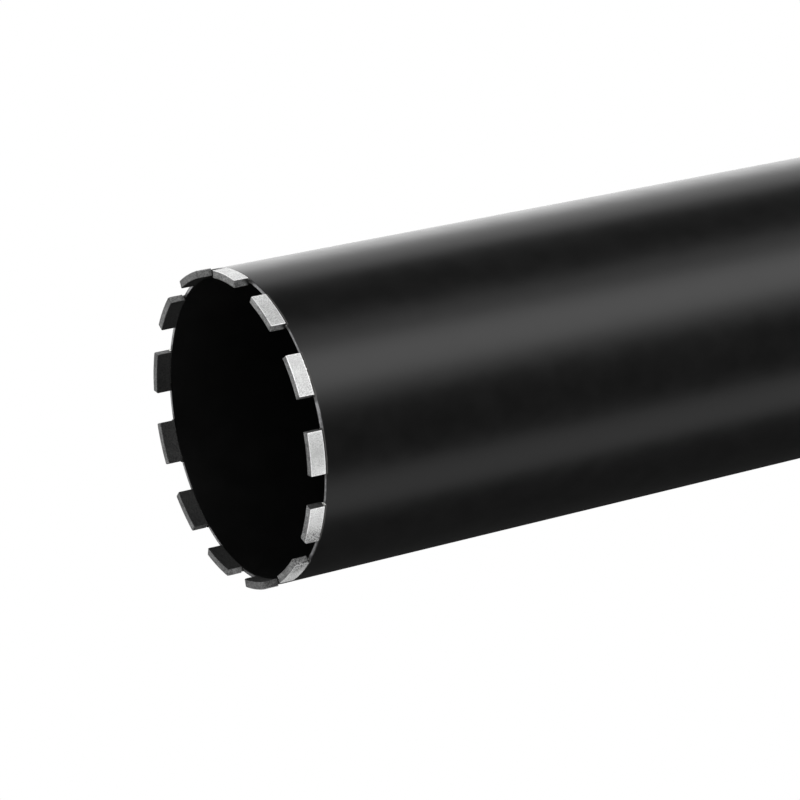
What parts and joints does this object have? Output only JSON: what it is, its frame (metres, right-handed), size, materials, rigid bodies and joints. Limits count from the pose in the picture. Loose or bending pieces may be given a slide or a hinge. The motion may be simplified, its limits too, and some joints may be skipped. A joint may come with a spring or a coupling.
{
  "type": "diamond core bit",
  "caption": "Thin-walled steel barrel with a ring of curved diamond segments on its rim, for drilling round holes in concrete, and a threaded hub at its closed end.",
  "frame": {"origin": "centre of the cutting plane, the plane of the segments' cutting faces, at the lowest point of the part", "axes": "+Z along the axis of the bit, from the cutting end to the threaded hub; +X through segment_01"},
  "size_m": [0.1815, 0.182, 0.508],
  "materials": {
    "diamond_segment": "sintered metal with fine diamond grit, matt and speckled",
    "braze_filler": "silver braze filler, dull",
    "barrel_paint": "semi-gloss black paint on rolled steel, bare at the rim",
    "crown_paint": "semi-gloss black paint on turned steel",
    "weld_paint": "weld bead under semi-gloss black paint",
    "hub_steel": "turned steel, lightly oiled"
  },
  "bodies": {
    "root": {"segment_01": "diamond_segment", "segment_02": "diamond_segment", "segment_03": "diamond_segment", "segment_04": "diamond_segment", "segment_05": "diamond_segment", "segment_06": "diamond_segment", "segment_07": "diamond_segment", "segment_08": "diamond_segment", "segment_09": "diamond_segment", "segment_10": "diamond_segment", "segment_11": "diamond_segment", "segment_12": "diamond_segment", "segment_13": "diamond_segment", "braze_seam_01": "braze_filler", "braze_seam_02": "braze_filler", "braze_seam_03": "braze_filler", "braze_seam_04": "braze_filler", "braze_seam_05": "braze_filler", "braze_seam_06": "braze_filler", "braze_seam_07": "braze_filler", "braze_seam_08": "braze_filler", "braze_seam_09": "braze_filler", "braze_seam_10": "braze_filler", "braze_seam_11": "braze_filler", "braze_seam_12": "braze_filler", "braze_seam_13": "braze_filler", "barrel_tube": "barrel_paint", "crown_plate": "crown_paint", "crown_weld": "weld_paint", "hub_weld": "weld_paint", "threaded_hub": "hub_steel"}
  },
  "joints": []
}
